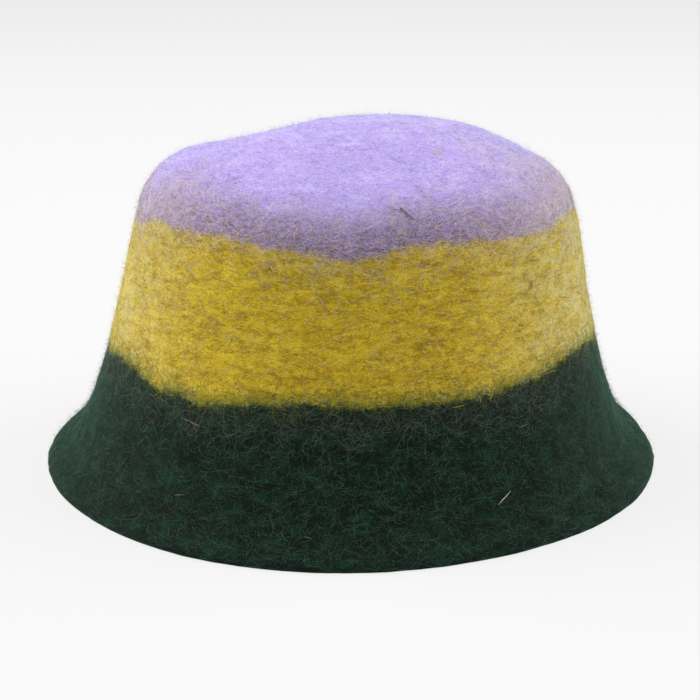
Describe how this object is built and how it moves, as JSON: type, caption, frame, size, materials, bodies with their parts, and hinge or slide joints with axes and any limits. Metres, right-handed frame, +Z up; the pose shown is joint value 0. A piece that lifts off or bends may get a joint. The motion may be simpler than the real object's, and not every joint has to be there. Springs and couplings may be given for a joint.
{
  "type": "felt bucket hat",
  "caption": "Seamless wet-felted wool bucket hat: a low domed crown, a sloping wall and a short flared brim, hollow and open below, in three colour bands.",
  "frame": {"origin": "on the surface that the rim rests on, under the middle of the hat's bounding box", "axes": "+Z up through the crown, X along the hat's long axis, -Y towards its front"},
  "size_m": [0.2516, 0.2456, 0.137],
  "materials": {
    "wool_felt": "matte, fuzzy wet-felted wool"
  },
  "bodies": {
    "root": {"felt_hat": "wool_felt"}
  },
  "joints": []
}
